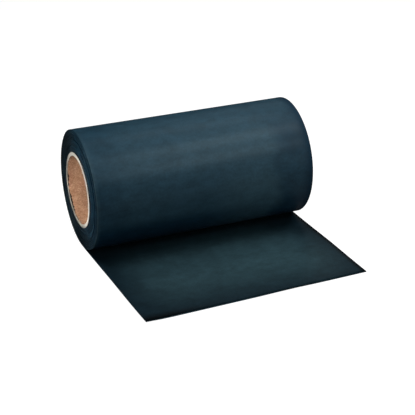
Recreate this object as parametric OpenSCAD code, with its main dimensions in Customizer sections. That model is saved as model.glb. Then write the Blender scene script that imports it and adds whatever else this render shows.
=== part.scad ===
// Roll of rubber flashing: one long strip of sheet rubber wound on a cardboard tube.
// The roll lies on its side, and the free end of the strip is led out flat in front of it.
//
// X runs along the roll's axis, Z is up, and the free end points to -Y.
// The origin is on the ground, under the middle of the whole object.

/* [Rubber strip] */
// Width of the strip, which is the length of the roll
strip_width = 254; // [50:1:600]
// Thickness of the strip
strip_thickness = 1.14; // [0.5:0.01:3]
// Number of turns wound on the tube
turns = 22; // [3:1:60]
// Free end, from the line where it leaves the roll to the middle of its cut edge
free_length = 188; // [100:1:600]
// Angle by which the free end is led out askew, towards +X
free_end_skew = 2; // [0:0.5:5]

/* [Turns on the ends of the roll] */
// Depth of the line between one turn and the next
turn_line_depth = 0.3; // [0.1:0.05:0.5]
// Width of that line at the face of the roll
turn_line_width = 0.3; // [0.1:0.05:0.4]

/* [Cardboard tube] */
// Inside diameter of the tube
tube_bore = 76.2; // [20:0.1:200]
// Thickness of the tube's wall
tube_wall = 4.5; // [1:0.1:15]
// How far the tube stands out of the roll at each end
tube_overhang = 1.5; // [0:0.1:20]
// Clearance between the tube and the first turn, all round
tube_clearance = 0.1; // [0:0.05:0.5]

/* [Hidden] */

tube_radius = tube_bore / 2 + tube_wall;
tube_length = strip_width + 2 * tube_overhang;
first_turn_radius = tube_radius + tube_clearance;
roll_radius = first_turn_radius + turns * strip_thickness;

// Corners of the cut edge on the left (-1) and on the right (1), seen from above
// and counted from the middle of the roll's lowest line
function cut_corner(side) = [
    side * strip_width / 2 * cos(free_end_skew) + free_length * sin(free_end_skew),
    side * strip_width / 2 * sin(free_end_skew) - free_length * cos(free_end_skew)
];

// The footprint reaches from the left end of the tube to the right end or the right corner
// of the free end, and from the left corner of the free end to the back of the roll
axis_x = (tube_length / 2 - max(tube_length / 2, cut_corner(1)[0])) / 2;
axis_y = -(cut_corner(-1)[1] + roll_radius) / 2;
axis_z = roll_radius;

// The flat stretch starts this far ahead of the roll's lowest line, inside the outer turn,
// so that its faces cross the round of the roll and don't only touch it
free_end_start = strip_thickness;

roll_facets = 180;
tube_facets = 120;

// Inner radius of one turn, counted from the tube
function turn_radius(i) = first_turn_radius + i * strip_thickness;

// Section of one end of the roll, from the tube outwards, as [radius, distance along the axis].
// Each turn is a flat land with its two corners dropped, so that a line shows between turns.
function end_outline() = [
    for (i = [0 : turns - 1])
        each [
            [turn_radius(i), strip_width / 2 - turn_line_depth],
            [turn_radius(i) + turn_line_width / 2, strip_width / 2],
            [turn_radius(i + 1) - turn_line_width / 2, strip_width / 2]
        ],
    [roll_radius, strip_width / 2 - turn_line_depth]
];

// The same section for the other end, taken from the outside back to the tube
function opposite_end_outline() = let (outline = end_outline(), last = len(outline) - 1) [
    for (i = [0 : last])
        [outline[last - i][0], -outline[last - i][1]]
];

// Puts a shape that was turned about Z on the roll's own axis
module on_roll_axis() {
    translate([axis_x, axis_y, axis_z])
        rotate([0, 90, 0])
            children();
}

// The wound turns
module wound_turns() {
    on_roll_axis()
        rotate_extrude($fn = roll_facets)
            polygon(concat(end_outline(), opposite_end_outline()));
}

// The last stretch of the strip, which leaves the roll at its lowest line and lies flat.
// It starts between the two corners of the outer turn.
module free_end() {
    start_side = strip_width / 2 - turn_line_depth;
    translate([axis_x, axis_y, 0])
        linear_extrude(strip_thickness)
            polygon([
                [-start_side, -free_end_start],
                cut_corner(-1),
                cut_corner(1),
                [start_side, -free_end_start]
            ]);
}

// The strip: its turns and its free end are one piece of rubber
module rubber_strip() {
    color([0.11, 0.15, 0.17])
        union() {
            wound_turns();
            free_end();
        }
}

// The tube that the strip is wound on
module cardboard_tube() {
    color([0.68, 0.54, 0.43])
        on_roll_axis()
            rotate_extrude($fn = tube_facets)
                translate([tube_bore / 2, -tube_length / 2])
                    square([tube_wall, tube_length]);
}

rubber_strip();
cardboard_tube();
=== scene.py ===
"""A roll of rubber flashing, lying on its side with the free end of the strip led out in front.

Everything is in metres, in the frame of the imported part: X runs along the roll's axis, Z is up,
and the free end points to -Y.
"""

import math

import bpy
import numpy as np
from mathutils import Matrix, Vector


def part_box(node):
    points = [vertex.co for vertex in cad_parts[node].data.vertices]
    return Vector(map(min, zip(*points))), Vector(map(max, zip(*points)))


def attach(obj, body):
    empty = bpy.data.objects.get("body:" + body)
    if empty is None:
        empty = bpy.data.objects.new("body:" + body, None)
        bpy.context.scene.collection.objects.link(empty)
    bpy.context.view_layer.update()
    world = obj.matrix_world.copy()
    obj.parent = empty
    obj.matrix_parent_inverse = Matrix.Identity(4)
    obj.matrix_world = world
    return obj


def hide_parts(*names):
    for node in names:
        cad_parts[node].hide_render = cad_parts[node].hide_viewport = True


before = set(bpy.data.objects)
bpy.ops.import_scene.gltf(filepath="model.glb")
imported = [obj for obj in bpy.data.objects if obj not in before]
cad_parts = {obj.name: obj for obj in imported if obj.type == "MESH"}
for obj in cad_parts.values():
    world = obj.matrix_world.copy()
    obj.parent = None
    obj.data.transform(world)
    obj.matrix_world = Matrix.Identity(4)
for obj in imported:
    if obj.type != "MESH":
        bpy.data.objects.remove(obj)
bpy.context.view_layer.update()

# The middle of the roll is the middle of the tube, and the roll lies on its outer turn.
tube_low, tube_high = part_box("cardboard_tube")
strip_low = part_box("rubber_strip")[0]
axis_x, axis_y, axis_z = (tube_low + tube_high) / 2
roll_middle = Vector((axis_x, axis_y, axis_z))

# ---------------------------------------------------------------------------------------------
# Camera. A long lens ahead and to the left of the roll, a little above it.
camera_azimuth = math.radians(-22.185)
camera_elevation = math.radians(24.824)
camera_roll = math.radians(-0.639)
camera_distance = 1.4778
camera_aim = Vector((axis_x + 0.02537, axis_y, 0.01822))

camera = bpy.data.objects.new("camera", bpy.data.cameras.new("camera"))
camera.data.sensor_width = 36
camera.data.lens = 110.93
towards_camera = Vector(
    (
        math.sin(camera_azimuth) * math.cos(camera_elevation),
        -math.cos(camera_azimuth) * math.cos(camera_elevation),
        math.sin(camera_elevation),
    )
)
upright = towards_camera.to_track_quat("Z", "Y").to_matrix()
rolled = upright @ Matrix.Rotation(camera_roll, 3, "Z")
camera.matrix_world = Matrix.Translation(camera_aim + towards_camera * camera_distance) @ rolled.to_4x4()
bpy.context.scene.collection.objects.link(camera)
bpy.context.scene.camera = camera

# ---------------------------------------------------------------------------------------------
# Cardboard tube, which carries the strip: plies of pale board, wound in a helix and glued, with a
# brown liner inside, and its outer wall painted near black as painted shade. It is sawn to length,
# so its ends show the cut edges of the plies, and a few fibres are torn into the bore.
tube_bore_radius = 0.0381
tube_outer_radius = (tube_high.z - tube_low.z) / 2
tube_half_length = tube_high.x - axis_x
tube_edge_round = 0.00035
tube_angles = 360
bore_columns = 90
ply_count = 8
ply_relief = 0.00005
saw_wobble = 0.0001
liner_dent = 0.00012
# Each torn fibre has its share of the full height, its place from the top towards the back and its
# half width, both in degrees, and the end of the tube it hangs from, -1 for the left one. The last
# is a long stretch of frayed edge.
fibre_height = 0.0016
fibre_length = 0.0025
torn_fibres = [
    (1.0, 261, 2.2, -1),
    (0.9, 323.5, 3, -1),
    (0.5, 184, 2.5, -1),
    (0.5, 211, 3, -1),
    (0.8, 120, 3, 1),
    (1.0, 300, 48, -1),
]


def grid_mesh(name, points, close_rows=False, cap_ends=False):
    """A mesh from a grid of points, rows x columns x 3. Each row is a closed loop of columns, and
    each row is joined to the next. With close_rows the last row is joined to the first too, and
    with cap_ends the first and the last row are each filled with one face."""
    rows, columns = points.shape[:2]
    index = np.arange(rows * columns).reshape(rows, columns)
    following = np.roll(index, -1, axis=0)
    if not close_rows:
        index, following = index[:-1], following[:-1]
    quads = np.stack(
        [index, following, np.roll(following, -1, axis=1), np.roll(index, -1, axis=1)], axis=-1
    )
    faces = quads.reshape(-1, 4).tolist()
    if cap_ends:
        faces += [index[0, ::-1].tolist(), following[-1].tolist()]
    mesh = bpy.data.meshes.new(name)
    mesh.from_pydata(points.reshape(-1, 3), [], faces)
    mesh.shade_smooth()
    return mesh


def waves(random, angle, along, lobes, per_metre):
    """A smooth random height of about -1 to 1: a sum of cosines, each with a whole number of lobes
    round the axis, so that it closes on itself, and its own slant along it."""
    total = np.zeros(np.broadcast(angle, along).shape)
    for lobe in lobes:
        slant = random.uniform(-per_metre, per_metre)
        phase = random.uniform(0, 2 * math.pi)
        total = total + np.cos(lobe * angle + 2 * math.pi * slant * along + phase)
    return total / math.sqrt(len(lobes))


def tube_section():
    """The wall's outline as one closed loop of (x, radius): the outer wall from left to right, the
    right end inwards, the bore from right to left and the left end outwards. Each corner is a
    quarter round."""
    corner = np.radians(np.array([15, 45, 75]))
    across, down = tube_edge_round * np.sin(corner), tube_edge_round * np.cos(corner)
    flat_x = tube_half_length - tube_edge_round
    outer_flat = tube_outer_radius - tube_edge_round
    inner_flat = tube_bore_radius + tube_edge_round
    wall_x = np.array([-1, -0.985, -0.97, 0.97, 0.985, 1]) * flat_x
    end_r = np.linspace(outer_flat, inner_flat, 4 * ply_count + 1)
    bore_x = np.linspace(flat_x, -flat_x, bore_columns)
    pieces = [
        (wall_x, np.full(wall_x.size, tube_outer_radius)),
        (flat_x + across, outer_flat + down),
        (np.full(end_r.size, tube_half_length), end_r),
        (flat_x + down, inner_flat - across),
        (bore_x, np.full(bore_x.size, tube_bore_radius)),
        (-(flat_x + across), inner_flat - down),
        (np.full(end_r.size, -tube_half_length), end_r[::-1]),
        (-(flat_x + down), outer_flat + across),
    ]
    return np.concatenate([x for x, _ in pieces]), np.concatenate([r for _, r in pieces])


def torn_fibre(angle, x, radius, at_degrees, width_degrees, side):
    """How far one torn fibre stands inwards: a bell over the angle, fading along the bore from the
    cut end on that side, and nothing outside the bore."""
    turn = (angle - math.radians(at_degrees) + math.pi) % (2 * math.pi) - math.pi
    bell = np.exp(-((turn / math.radians(width_degrees)) ** 2))
    fade = np.exp(-np.abs(side * tube_half_length - x) / fibre_length * 2)
    return fibre_height * bell * fade * (radius < tube_bore_radius + tube_edge_round * 1.5)


def tube_points():
    """The outline turned about the axis: y = r sin a and z = r cos a, with a from the top towards
    the back. The cut ends wobble with the saw and follow the plies, and the liner has soft dents."""
    random = np.random.default_rng(11)
    x, radius = (v[None, :] for v in tube_section())
    angle = np.linspace(0, 2 * math.pi, tube_angles, endpoint=False)[:, None]
    depth = (tube_outer_radius - radius) / (tube_outer_radius - tube_bore_radius)
    at_end = (np.abs(x) > tube_half_length - tube_edge_round * 0.5) & (depth > 0.02) & (depth < 0.98)
    fuzz = waves(random, angle, radius, [23, 41, 67, 89, 113], 900)
    end_shift = saw_wobble * waves(random, angle, x, [2, 5, 9], 1) + saw_wobble * 0.6 * fuzz
    end_shift = end_shift - ply_relief * (1 - np.cos(2 * math.pi * ply_count * depth))
    inside = radius < tube_bore_radius + tube_edge_round
    dents = liner_dent * waves(random, angle, x, [2, 3, 5, 8, 13], 30)
    torn = sum(share * torn_fibre(angle, x, radius, *place) for share, *place in torn_fibres)
    x = x + np.sign(x) * np.where(at_end, np.minimum(end_shift, 0), 0)
    radius = radius - inside * np.maximum(dents, -liner_dent) * 0.5 - torn
    x = np.broadcast_to(x, radius.shape)
    return np.stack([axis_x + x, axis_y + radius * np.sin(angle), axis_z + radius * np.cos(angle)], axis=-1)


tube = bpy.data.objects.new("board_tube", grid_mesh("board_tube", tube_points(), close_rows=True))
bpy.context.scene.collection.objects.link(tube)
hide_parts("cardboard_tube")
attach(tube, "root")


def new_group(name, inputs, outputs):
    """An empty shader node group with the named sockets, given as {name: (type, default)}, and its
    input and output nodes."""
    group = bpy.data.node_groups.new(name, "ShaderNodeTree")
    for label, (kind, default) in inputs.items():
        socket = group.interface.new_socket(name=label, in_out="INPUT", socket_type=kind)
        if default is not None:
            socket.default_value = default
    for label, kind in outputs.items():
        group.interface.new_socket(name=label, in_out="OUTPUT", socket_type=kind)
    return group, group.nodes.new("NodeGroupInput"), group.nodes.new("NodeGroupOutput")


def new_material(name, **constants):
    """A material with one Principled BSDF, whose plain values are set on its own sockets."""
    material = bpy.data.materials.new(name)
    material.use_nodes = True
    tree = material.node_tree
    shader = tree.nodes["Principled BSDF"]
    for label, value in constants.items():
        shader.inputs[label.replace("_", " ")].default_value = value
    return material, tree, shader


def add(tree, kind, inputs=None, **settings):
    """A node of that kind with its settings. Each input is given a value, or another node's
    output to link from."""
    node = tree.nodes.new(kind)
    for name, value in settings.items():
        setattr(node, name, value)
    for key, value in (inputs or {}).items():
        if isinstance(value, bpy.types.NodeSocket):
            tree.links.new(value, node.inputs[key])
        else:
            node.inputs[key].default_value = value
    return node


def arithmetic(tree, operation, a, b=0.0, c=0.0):
    """The result of one Math node. MULTIPLY_ADD is a times b, plus c."""
    return add(tree, "ShaderNodeMath", {0: a, 1: b, 2: c}, operation=operation).outputs[0]


def vectors(tree, operation, a, b=(0.0, 0.0, 0.0)):
    """The result of one Vector Math node. DOT_PRODUCT is how far a reaches in the direction b."""
    node = add(tree, "ShaderNodeVectorMath", {0: a, 1: b}, operation=operation)
    return node.outputs["Value" if operation in ("DOT_PRODUCT", "LENGTH") else "Vector"]


def scaled(tree, colour, factor):
    """The colour times the factor."""
    return add(tree, "ShaderNodeVectorMath", {0: colour, "Scale": factor}, operation="SCALE").outputs[0]


def noise(tree, place, per_metre, detail):
    """Soft random values round 0.5, with that many lumps to the metre."""
    inputs = {"Vector": place, "Scale": per_metre, "Detail": detail}
    return add(tree, "ShaderNodeTexNoise", inputs).outputs[0]


def step(tree, value, low, high):
    """0 below low and 1 above high, with a smooth rise between."""
    inputs = {"Value": value, "From Min": low, "From Max": high}
    return add(tree, "ShaderNodeMapRange", inputs, interpolation_type="SMOOTHSTEP").outputs[0]


def between(tree, share, start, end):
    """The value that lies that share, 0 to 1, of the way from start to end."""
    return add(tree, "ShaderNodeMapRange", {"Value": share, "To Min": start, "To Max": end}).outputs[0]


def partly(tree, mask, share):
    """1 where the mask is 1, and 1 less the share where it is 0."""
    return between(tree, mask, 1 - share, 1.0)


def flip(tree, mask):
    """1 less the mask."""
    return arithmetic(tree, "SUBTRACT", 1.0, mask)


def product(tree, *factors):
    """The factors multiplied together."""
    total = factors[0]
    for factor in factors[1:]:
        total = arithmetic(tree, "MULTIPLY", total, factor)
    return total


def mix(tree, share, a, b):
    """The colour a where share is 0 and b where it is 1. Each is a colour or an output."""
    a, b = (c if isinstance(c, bpy.types.NodeSocket) else (*c, 1) for c in (a, b))
    return add(tree, "ShaderNodeMix", {0: share, 6: a, 7: b}, data_type="RGBA").outputs[2]


def ramp(tree, value, stops):
    """A colour ramp over value, with stops of (position, colour)."""
    node = add(tree, "ShaderNodeValToRGB", {0: value})
    while len(node.color_ramp.elements) < len(stops):
        node.color_ramp.elements.new(0.5)
    for element, (position, colour) in zip(node.color_ramp.elements, stops):
        element.position = position
        element.color = (*colour, 1)
    return node.outputs[0]


# Mottle: blotches broken up by finer grain, as on paper and on dusted rubber.
mottle, mottle_in, mottle_out = new_group(
    "mottle",
    {
        "Vector": ("NodeSocketVector", None),
        "Blotches per metre": ("NodeSocketFloat", 40.0),
        "Grains per metre": ("NodeSocketFloat", 600.0),
        "Grain share": ("NodeSocketFloat", 0.4),
    },
    {"Value": "NodeSocketFloat"},
)
mottle_place = mottle_in.outputs["Vector"]
blotches = noise(mottle, mottle_place, mottle_in.outputs["Blotches per metre"], 3.0)
grains = noise(mottle, mottle_place, mottle_in.outputs["Grains per metre"], 2.0)
mottled = add(mottle, "ShaderNodeMix", {0: mottle_in.outputs["Grain share"], 2: blotches, 3: grains})
mottle.links.new(mottled.outputs[0], mottle_out.inputs["Value"])

# The tube's finish. The liner is brown kraft paper, and the plies' cut ends are pale, but painted
# shade greys them along the bottom and back. Fibres torn into the bore are as pale as the plies.
liner_tones = [(0.36, (0.42, 0.21, 0.11)), (0.5, (0.58, 0.33, 0.19)), (0.64, (0.72, 0.47, 0.30))]
pale_ply_tones = [(0.3, (0.55, 0.50, 0.42)), (0.5, (0.78, 0.74, 0.64)), (0.7, (0.88, 0.86, 0.78))]
shaded_ply_tones = [(0.35, (0.24, 0.22, 0.18)), (0.6, (0.50, 0.48, 0.42))]
shaded_wall_colour = (0.030, 0.030, 0.029)
# Painted shade inside the cut end, at the back of the bore.
edge_shade_colour = (0.035, 0.024, 0.020)
widest_edge_shade = 0.0024

board, tree, shader = new_material("wound_board", Roughness=0.9, Specular_IOR_Level=0.2)
place = add(tree, "ShaderNodeTexCoord").outputs["Object"]
centred = vectors(tree, "SUBTRACT", place, tuple(roll_middle))
parts = add(tree, "ShaderNodeSeparateXYZ", {0: centred}).outputs
radial = add(tree, "ShaderNodeCombineXYZ", {1: parts[1], 2: parts[2]}).outputs[0]
radius = vectors(tree, "LENGTH", radial)
from_end = arithmetic(tree, "SUBTRACT", tube_half_length, arithmetic(tree, "ABSOLUTE", parts[0]))
ragged = noise(tree, radial, 260.0, 4.0)

paper = {"Vector": centred, "Blotches per metre": 190, "Grains per metre": 800, "Grain share": 0.6}
liner = ramp(tree, add(tree, "ShaderNodeGroup", paper, node_tree=mottle).outputs[0], liner_tones)
# Painted shade: a thin ragged dark line on the liner along its cut edge, in the back half of the
# bore only, wider right at the back and below it.
right_back = step(tree, vectors(tree, "DOT_PRODUCT", radial, (0.0, 0.998, -0.07)), 0.0371, 0.0379)
below_it = step(tree, vectors(tree, "DOT_PRODUCT", radial, (0.0, 0.731, -0.682)), 0.0356, 0.0374)
widened = between(tree, arithmetic(tree, "MAXIMUM", right_back, below_it), 0.45, 1.0)
raggedness = between(tree, step(tree, ragged, 0.3, 0.6), 0.35, 1.0)
edge_shade_width = product(tree, widened, raggedness, widest_edge_shade)
edge_shaded = step(tree, arithmetic(tree, "SUBTRACT", edge_shade_width, from_end), 0.0, 0.0006)
in_back_half = step(tree, parts[1], -0.012, 0.006)
liner = mix(tree, product(tree, edge_shaded, in_back_half), liner, edge_shade_colour)

ply = product(tree, radius, 2 * math.pi * ply_count / (tube_outer_radius - tube_bore_radius))
pulp = noise(tree, centred, 1500.0, 3.0)
ply_tone = arithmetic(tree, "MULTIPLY_ADD", arithmetic(tree, "SINE", ply), 0.09, pulp)
# Painted shade: the plies' ends turn grey away from the upper front.
upper_front = vectors(tree, "DOT_PRODUCT", radial, (0.0, -0.8, 0.6))
ply_unshaded = step(tree, arithmetic(tree, "MULTIPLY_ADD", ragged, 0.03, upper_front), -0.010, 0.024)
ply_end = mix(tree, ply_unshaded, ramp(tree, ply_tone, shaded_ply_tones), ramp(tree, ply_tone, pale_ply_tones))

in_bore = flip(tree, step(tree, radius, tube_bore_radius + 0.0001, tube_bore_radius + 0.0003))
not_torn = step(tree, radius, tube_bore_radius - 0.0005, tube_bore_radius - 0.0002)
colour = mix(tree, product(tree, in_bore, not_torn), ply_end, liner)
# Painted shade: the outer wall, which stands proud of the rubber at the ends, is near black.
outside = step(tree, radius, tube_outer_radius - 0.0005, tube_outer_radius - 0.0002)
colour = mix(tree, outside, colour, shaded_wall_colour)
tree.links.new(colour, shader.inputs["Base Color"])
fibres = noise(tree, centred, 1800.0, 4.0)
bump = add(tree, "ShaderNodeBump", {"Height": fibres, "Strength": 0.5, "Distance": 0.0002})
tree.links.new(bump.outputs[0], shader.inputs["Normal"])
tube.data.materials.append(board)

# ---------------------------------------------------------------------------------------------
# Rubber strip. One long strip of calendered sheet, slit to width and wound on the tube. The free
# end leaves the roll at its lowest line, under the turns, and lies flat on the ground in front.
turns = 22
roll_radius = axis_z
first_turn_radius = tube_outer_radius + 0.0001
turn_pitch = (roll_radius - first_turn_radius) / turns
strip_thickness = turn_pitch - 0.00001
strip_half_width = axis_x - strip_low.x
slit_edge_round = 0.0002
face_columns = 19
outer_turn_steps = 180
inner_turn_steps = 60
free_end_step = 0.004
# The free end is led out 2 degrees askew, and turns to that angle where it leaves the roll.
skew = math.radians(2)
skew_run = 0.012
free_length = (axis_y - strip_low.y - strip_half_width * math.sin(skew)) / math.cos(skew) - 0.00001
# It ripples a little, by radians per metre across it and along it. Its cut edge lifts at the left
# corner and right of the middle: each lift has its height, its place from the middle of the strip
# and its half width.
ripple_rise = 0.0003
ripple_across = 31
ripple_along = 40
edge_lifts = [(0.0010, -strip_half_width, 0.014), (0.0006, 0.037, 0.022)]
edge_lift_length = 0.02
# The turns wander sideways in waves along the strip, each with its wavelength and its height. The
# waves grow over the first part of the outer turn.
wander_start = 0.3
wander_waves = [
    (0.23, 0.0001),
    (0.31, 0.0001),
    (0.47, 0.0001),
    (0.71, 0.0001),
    (1.1, 0.0003),
    (1.9, 0.0003),
    (3.1, 0.0003),
]


def strip_section():
    """The strip's section as one closed loop of (distance across, depth below the outer face):
    the outer face from left to right, the right edge, the inner face back and the left edge. The
    corners are quarter rounds, and the columns are closer together near the edges."""
    corner = np.radians(np.array([22.5, 45, 67.5]))
    across, down = slit_edge_round * np.sin(corner), slit_edge_round * np.cos(corner)
    flat = strip_half_width - slit_edge_round
    deep = strip_thickness - slit_edge_round
    face = np.sin(np.linspace(-math.pi / 2, math.pi / 2, face_columns)) * flat
    side = np.full(2, strip_half_width)
    pieces = [
        (face, np.zeros(face.size)),
        (flat + across, slit_edge_round - down),
        (side, np.array([slit_edge_round, deep])),
        (flat + down, deep + across),
        (face[::-1], np.full(face.size, strip_thickness)),
        (-(flat + across), deep + down),
        (-side, np.array([deep, slit_edge_round])),
        (-(flat + down), slit_edge_round - across),
    ]
    return np.concatenate([a for a, _ in pieces]), np.concatenate([d for _, d in pieces])


def strip_path():
    """The path of the middle of the strip's outer face, from the cut edge to the tube. Returns
    the length along it, its points, the direction across the strip and the outward direction,
    one row for each point. The free end is straight, and the wound part is a spiral whose radius
    falls by one pitch each turn."""
    ahead = np.linspace(free_length, 0, round(free_length / free_end_step) + 1)[:-1]
    rise = np.clip(ahead / skew_run, 0, 1)
    heading = skew * rise * rise * (3 - 2 * rise)
    sideways = np.sin(skew) * np.maximum(ahead - skew_run / 2, 0)
    zero = np.zeros(ahead.size)
    free = np.stack([axis_x + sideways, axis_y - ahead * np.cos(heading), zero], axis=-1)
    free_across = np.stack([np.cos(heading), np.sin(heading), zero], axis=-1)
    free_outward = np.stack([zero, zero, zero - 1], axis=-1)

    outer_turn = np.linspace(0, 2 * math.pi, outer_turn_steps + 1)[:-1]
    inner_turns = np.linspace(2 * math.pi, 2 * math.pi * turns, inner_turn_steps * (turns - 1) + 1)
    angle = np.concatenate([outer_turn, inner_turns])
    radius = roll_radius - turn_pitch * angle / (2 * math.pi)
    arc = np.concatenate([[0], np.cumsum(np.diff(angle) * (radius[1:] + radius[:-1]) / 2)])
    zero = np.zeros(angle.size)
    wound_outward = np.stack([zero, np.sin(angle), -np.cos(angle)], axis=-1)
    wound = np.array(roll_middle) + radius[:, None] * wound_outward
    wound_across = np.stack([zero + 1, zero, zero], axis=-1)
    along = np.concatenate([free_length - ahead, free_length + arc])
    return (
        along,
        np.concatenate([free, wound]),
        np.concatenate([free_across, wound_across]),
        np.concatenate([free_outward, wound_outward]),
    )


def strip_points():
    """The section carried along the path: a point lies its distance across and its depth inwards
    of the outer face. The turns wander sideways by a sum of sines of the length, as the strip did
    when it was wound. The free end's ripple is a sine that fades towards both its ends, and each
    lift of its cut edge is a bell across the strip that dies away along it."""
    random = np.random.default_rng(5)
    along, path, across, outward = strip_path()
    width, depth = strip_section()
    wander = np.zeros(along.size)
    for wavelength, height in wander_waves:
        wander = wander + height * np.sin(2 * math.pi * (along / wavelength + random.uniform()))
    wander = wander * np.clip((along - free_length) / wander_start, 0, 1)
    along = along[:, None]
    fade = np.sin(np.clip(along / (free_length * 0.8), 0, 1) * math.pi) ** 2
    lift = ripple_rise * fade * (1 + np.sin(width * ripple_across + along * ripple_along + 0.6))
    for height, place, half_width in edge_lifts:
        bell = np.exp(-(((width - place) / half_width) ** 2))
        lift = lift + height * bell * np.exp(-along / edge_lift_length)
    sideways = (width + wander[:, None])[..., None] * across[:, None]
    points = path[:, None] + sideways - depth[:, None] * outward[:, None]
    points[..., 2] += lift
    return points


strip_grid = strip_points()
strip_mesh = grid_mesh("rubber_flashing", strip_grid, cap_ends=True)
strip = bpy.data.objects.new("rubber_flashing", strip_mesh)
bpy.context.scene.collection.objects.link(strip)

# The strip's own map: u is the length along it from the cut edge, v the distance across it. Its
# attribute inner_side is 0 on the outer face, 1 on the inner one and between on the slit edges.
strip_map = strip_mesh.uv_layers.new(name="strip")
corners = np.empty(len(strip_mesh.loops), np.int64)
strip_mesh.loops.foreach_get("vertex_index", corners)
lengths = np.repeat(strip_path()[0], strip_grid.shape[1])
widths = np.tile(strip_section()[0] + strip_half_width, strip_grid.shape[0])
strip_map.data.foreach_set("uv", np.stack([lengths[corners], widths[corners]], axis=-1).ravel())
depths = np.tile(strip_section()[1] / strip_thickness, strip_grid.shape[0])
inner_side = strip_mesh.attributes.new("inner_side", "FLOAT", "POINT")
inner_side.data.foreach_set("value", depths)
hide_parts("rubber_strip")
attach(strip, "root")

# The rubber's finish: blue-black and matt, with a thin dusting of talc on both faces. Their margins
# and the line where the roll meets the tail are painted darker as painted shade. The outer turn's
# lengths are measured from the top of the roll forwards.
roll_top = free_length + math.pi * roll_radius
outer_turn_end = free_length + 2 * math.pi * roll_radius
# Painted shade: the roll's darker colour on its margins and towards its foot.
shaded_roll_colour = (0.0012, 0.0175, 0.038)
dusted_roll_colour = (0.0205, 0.0535, 0.079)
# Painted light: a lighter patch low on the front right of the roll.
painted_light_roll_colour = (0.032, 0.073, 0.099)
# Painted shade: the tail's darker colour near the roll, along its edges and by the cut.
shaded_tail_colour = (0.0050, 0.0135, 0.0205)
dusted_tail_colour = (0.025, 0.055, 0.067)
# Painted shade at the tail's edges.
shaded_edge_colour = (0.001, 0.002, 0.003)
slit_tones = [(0.3, (0.004, 0.017, 0.028)), (0.52, (0.007, 0.025, 0.040)), (0.72, (0.014, 0.044, 0.064))]
# Painted highlights along the roll's left edge.
edge_highlight_colour = (0.027, 0.062, 0.087)
corner_highlight_colour = (0.040, 0.080, 0.103)
face_roughness = 0.38
smooth_edge_roughness = 0.25
slit_roughness = 0.8


def about_one(tree, soft, swing):
    """A factor about 1 from noise: 1 less the swing where it is 0.3, and 1 plus it where it is 0.7."""
    ends = {"From Min": 0.3, "From Max": 0.7, "To Min": 1 - swing, "To Max": 1 + swing}
    return add(tree, "ShaderNodeMapRange", {"Value": soft, **ends}).outputs[0]


def outer_turn_dust_and_shade(tree, past_top, from_left, from_right, drift):
    """How much of the talc colour the roll's face shows, 0 to 1, the rest being painted shade: the
    product of one mask for each part. The right margin is painted dark from a little below the top,
    less so half way down, and at its very edge. The left margin is a little darker below the top, and
    painted shade darkens the face towards the line where the roll meets the tail."""
    drifted = arithmetic(tree, "MULTIPLY_ADD", drift, 0.06, past_top)
    inward = arithmetic(tree, "MULTIPLY_ADD", drift, -0.03, from_right)
    half_way = product(
        tree, step(tree, drifted, 0.061, 0.091), flip(tree, step(tree, past_top, 0.114, 0.139))
    )
    shaded_part = product(tree, step(tree, drifted, 0.014, 0.053), partly(tree, flip(tree, half_way), 0.6))
    right_margin = arithmetic(tree, "MAXIMUM", step(tree, inward, 0.025, 0.052), flip(tree, shaded_part))
    near_top = product(tree, flip(tree, step(tree, past_top, 0.044, 0.069)), 0.35)
    left_margin = arithmetic(tree, "MAXIMUM", step(tree, from_left, 0.0, 0.050), near_top)
    left_half = flip(tree, step(tree, from_left, 0.09, 0.20))
    at_foot = product(tree, step(tree, past_top, 0.119, 0.139), partly(tree, left_half, 0.75))
    return product(
        tree,
        partly(tree, right_margin, 0.78),
        partly(tree, step(tree, from_right, 0.0, 0.015), 0.95),
        partly(tree, left_margin, 0.36),
        partly(tree, flip(tree, at_foot), 0.85),
    )


def tail_dust_and_shade(tree, length_along, from_left, from_right):
    """How much talc colour the free end shows, 0 to 1, the rest being painted shade: a wide oval
    patch, as the product of a rise from each of its edges, which darkens towards the roll as painted
    shade. The dark margin at the cut edge is narrower on the right."""
    on_right = flip(tree, step(tree, from_right, 0.020, 0.140))
    from_cut = arithmetic(tree, "MULTIPLY_ADD", on_right, 0.008, length_along)
    thinning = arithmetic(tree, "MULTIPLY_ADD", step(tree, from_right, 0.01, 0.08), -0.028, length_along)
    widening = step(tree, length_along, 0.036, 0.084)
    right_margin = arithmetic(tree, "MULTIPLY_ADD", widening, -0.004, from_right)
    return product(
        tree,
        step(tree, from_cut, -0.010, 0.067),
        partly(tree, flip(tree, step(tree, length_along, 0.070, 0.100)), 0.12),
        partly(tree, flip(tree, step(tree, thinning, 0.084, 0.144)), 0.85),
        step(tree, from_left, -0.008, 0.055),
        partly(tree, step(tree, from_left, 0.050, 0.150), 0.12),
        partly(tree, step(tree, right_margin, -0.014, 0.054), 0.94),
    )


rubber, tree, shader = new_material(
    "dusted_rubber", Specular_IOR_Level=0.215, Specular_Tint=(0.75, 0.96, 1.0, 1)
)
strip_uv = add(tree, "ShaderNodeUVMap", uv_map="strip").outputs[0]
parts = add(tree, "ShaderNodeSeparateXYZ", {0: strip_uv}).outputs
length_along, from_left = parts[0], parts[1]
from_right = arithmetic(tree, "SUBTRACT", 2 * strip_half_width, from_left)
past_top = arithmetic(tree, "SUBTRACT", length_along, roll_top)
place = add(tree, "ShaderNodeTexCoord").outputs["Object"]
inner_face = add(tree, "ShaderNodeAttribute", attribute_name="inner_side").outputs["Fac"]
on_outer_face = flip(tree, step(tree, inner_face, 0.1, 0.3))
on_slit = product(
    tree, step(tree, inner_face, 0.05, 0.2), flip(tree, step(tree, inner_face, 0.8, 0.95))
)

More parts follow.
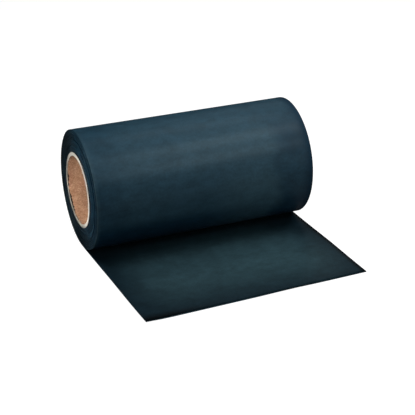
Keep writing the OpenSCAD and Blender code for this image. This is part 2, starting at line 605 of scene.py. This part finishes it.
# The faces. The borders of the dust and of the painted shade on the roll drift with the noise, and a
# patch low on the front right is painted lighter as painted light.
drift = arithmetic(tree, "SUBTRACT", noise(tree, place, 30.0, 2.0), 0.5)
roll_dust_and_shade = outer_turn_dust_and_shade(tree, past_top, from_left, from_right, drift)
lit_patch = product(
    tree,
    step(tree, past_top, 0.069, 0.111),
    step(tree, from_left, 0.120, 0.175),
    step(tree, arithmetic(tree, "MULTIPLY_ADD", drift, -0.03, from_right), 0.032, 0.048),
)
dusted_and_lit = mix(tree, lit_patch, dusted_roll_colour, painted_light_roll_colour)
roll_colour = mix(tree, roll_dust_and_shade, shaded_roll_colour, dusted_and_lit)
tail_colour = mix(
    tree, tail_dust_and_shade(tree, length_along, from_left, from_right), shaded_tail_colour, dusted_tail_colour
)
# Painted shade: the tail's left front corner and a thin strip along its right edge are near black.
shaded_left_corner = product(
    tree, flip(tree, step(tree, length_along, 0.002, 0.014)), flip(tree, step(tree, from_left, 0.02, 0.10))
)
shaded_edge = arithmetic(tree, "MAXIMUM", shaded_left_corner, flip(tree, step(tree, from_right, 0.0, 0.008)))
tail_colour = mix(tree, shaded_edge, tail_colour, shaded_edge_colour)
colour = mix(tree, inner_face, roll_colour, tail_colour)

# The slit edges are bare, a little lighter on some turns than others, with painted light towards
# the upper front and painted shade towards the lower back.
turn_place = add(tree, "ShaderNodeCombineXYZ", {0: length_along}).outputs[0]
slit_colour = ramp(tree, noise(tree, turn_place, 7.0, 2.0), slit_tones)
from_middle = vectors(tree, "SUBTRACT", place, tuple(roll_middle))
lower_back = vectors(tree, "DOT_PRODUCT", from_middle, (0.0, 0.94, -0.34))
shade = between(tree, step(tree, lower_back, -0.035, 0.03), 2.0, 0.4)
colour = mix(tree, on_slit, colour, scaled(tree, slit_colour, shade))

# Painted highlight along the outer turn's left edge: a little paler below the top, and paler still
# on its corner further down.
on_outer_turn = arithmetic(tree, "LESS_THAN", length_along, outer_turn_end)
edge_highlight = product(
    tree,
    flip(tree, step(tree, from_left, 0.002, 0.005)),
    on_outer_face,
    step(tree, past_top, -0.006, 0.004),
    on_outer_turn,
    0.5,
)
colour = mix(tree, edge_highlight, colour, edge_highlight_colour)
corner_highlight = product(
    tree,
    flip(tree, step(tree, from_left, 0.0004, 0.0014)),
    on_outer_face,
    step(tree, past_top, 0.029, 0.049),
    on_outer_turn,
)
colour = mix(tree, corner_highlight, colour, corner_highlight_colour)

# Clouds in the dust, and smaller patches in them that are longer across the strip than along it.
talc = {"Vector": place, "Blotches per metre": 45, "Grains per metre": 420, "Grain share": 0.5}
clouds = add(tree, "ShaderNodeGroup", talc, node_tree=mottle).outputs[0]
patches = noise(tree, vectors(tree, "MULTIPLY", place, (90, 120, 200)), 1.0, 2.0)
cloudy = product(tree, about_one(tree, clouds, 0.22), about_one(tree, patches, 0.12))
tree.links.new(scaled(tree, colour, cloudy), shader.inputs["Base Color"])

# The slit edges and the roll's right edge are dull, and the tail's right edge is smooth. Both
# right edges are painted dark as painted shade.
on_roll = step(tree, length_along, free_length + 0.062, free_length + 0.112)
right_edge = flip(tree, step(tree, from_right, 0.0, 0.011))
dull = arithmetic(tree, "MAXIMUM", on_slit, product(tree, right_edge, on_roll))
smooth_edge = product(tree, flip(tree, step(tree, from_right, 0.0, 0.016)), flip(tree, on_roll))
roughness = between(tree, smooth_edge, face_roughness, smooth_edge_roughness)
roughness = between(tree, dull, roughness, slit_roughness)
tree.links.new(roughness, shader.inputs["Roughness"])

# Faint lines along the strip from the calender, faint creases across it, and a fine grain.
lines = noise(tree, vectors(tree, "MULTIPLY", strip_uv, (12, 900, 0)), 1.0, 2.0)
creases = noise(tree, vectors(tree, "MULTIPLY", strip_uv, (260, 24, 0)), 1.0, 2.0)
relief = arithmetic(tree, "MULTIPLY_ADD", lines, 0.5, noise(tree, place, 2600.0, 2.0))
relief = arithmetic(tree, "MULTIPLY_ADD", creases, 2.5, relief)
bump = add(tree, "ShaderNodeBump", {"Height": relief, "Strength": 0.35, "Distance": 0.0001})
tree.links.new(bump.outputs[0], shader.inputs["Normal"])
strip_mesh.materials.append(rubber)

# ---------------------------------------------------------------------------------------------
# Floor: a plain grey sheet, wide enough to have no edge in view. It glows for the camera alone,
# which brings it up to white and leaves the soft shadow under the roll.
floor_size = 4.0
floor_drop = 0.0002
floor_grey = 0.25
floor_glow = 0.95

floor_mesh = bpy.data.meshes.new("floor")
floor_mesh.from_pydata(
    [(x * floor_size, y * floor_size, -floor_drop) for x, y in ((-1, -1), (1, -1), (1, 1), (-1, 1))],
    [],
    [(0, 1, 2, 3)],
)
floor = bpy.data.objects.new("floor", floor_mesh)
bpy.context.scene.collection.objects.link(floor)
floor_finish, tree, shader = new_material(
    "floor",
    Roughness=0.9,
    Base_Color=(floor_grey, floor_grey, floor_grey, 1),
    Specular_IOR_Level=0.0,
    Emission_Color=(1, 1, 1, 1),
)
seen = add(tree, "ShaderNodeLightPath").outputs["Is Camera Ray"]
tree.links.new(product(tree, seen, floor_glow), shader.inputs["Emission Strength"])
floor_mesh.materials.append(floor_finish)

# ---------------------------------------------------------------------------------------------
# Light: soft boxes over both ends of the roll and in a row down the front, a broad one to the right
# and a faint one behind it. Two with a narrow spread face the left end and look into the tube. The
# world shows white to the camera and lights nothing.
world = bpy.data.worlds.new("studio")
world.use_nodes = True
bpy.context.scene.world = world
tree = world.node_tree
tree.nodes.clear()
seen = add(tree, "ShaderNodeLightPath").outputs["Is Camera Ray"]
background = add(tree, "ShaderNodeBackground", {0: (1, 1, 1, 1), 1: seen})
tree.links.new(background.outputs[0], add(tree, "ShaderNodeOutputWorld").inputs[0])
left_end = Vector((strip_low.x, axis_y, axis_z))
slim = (0.35, 0.14)


def soft_box(name, aim, offset, size, watts, spread=180):
    """A rectangular lamp of that width and depth, which stands at the offset from the point it
    faces, with its light kept within the spread in degrees."""
    lamp = bpy.data.lights.new(name, "AREA")
    lamp.shape = "RECTANGLE"
    lamp.size, lamp.size_y = size
    lamp.energy = watts
    lamp.spread = math.radians(spread)
    stand = bpy.data.objects.new(name, lamp)
    facing = Vector(offset).to_track_quat("Z", "Y").to_matrix().to_4x4()
    stand.matrix_world = Matrix.Translation(aim + Vector(offset)) @ facing
    bpy.context.scene.collection.objects.link(stand)


soft_box("overhead_left", roll_middle, (-0.35, 0, 0.9), slim, 3.8)
soft_box("overhead_right", roll_middle, (0.35, 0.31, 0.85), slim, 0.5)
soft_box("right", roll_middle, (0.766, 0, 0.643), (0.4, 0.4), 3.4)
soft_box("back_right", roll_middle, (0.45, 0.709, 0.574), (0.35, 0.4), 0.13)
soft_box("front_high", roll_middle, (0.35, -0.308, 0.846), slim, 1.44)
soft_box("front_middle", roll_middle, (0.35, -0.669, 0.602), slim, 1.3)
soft_box("front_low", roll_middle, (1.05, -0.90, 0.200), slim, 3.3)
soft_box("left_fill", left_end, (-0.761, -0.204, 0.139), (0.25, 0.25), 0.1, spread=40)
soft_box("bore_fill", left_end, (-0.378, -0.236, 0.063), (0.05, 0.05), 0.016, spread=12)
bpy.context.scene.view_settings.view_transform = "Standard"
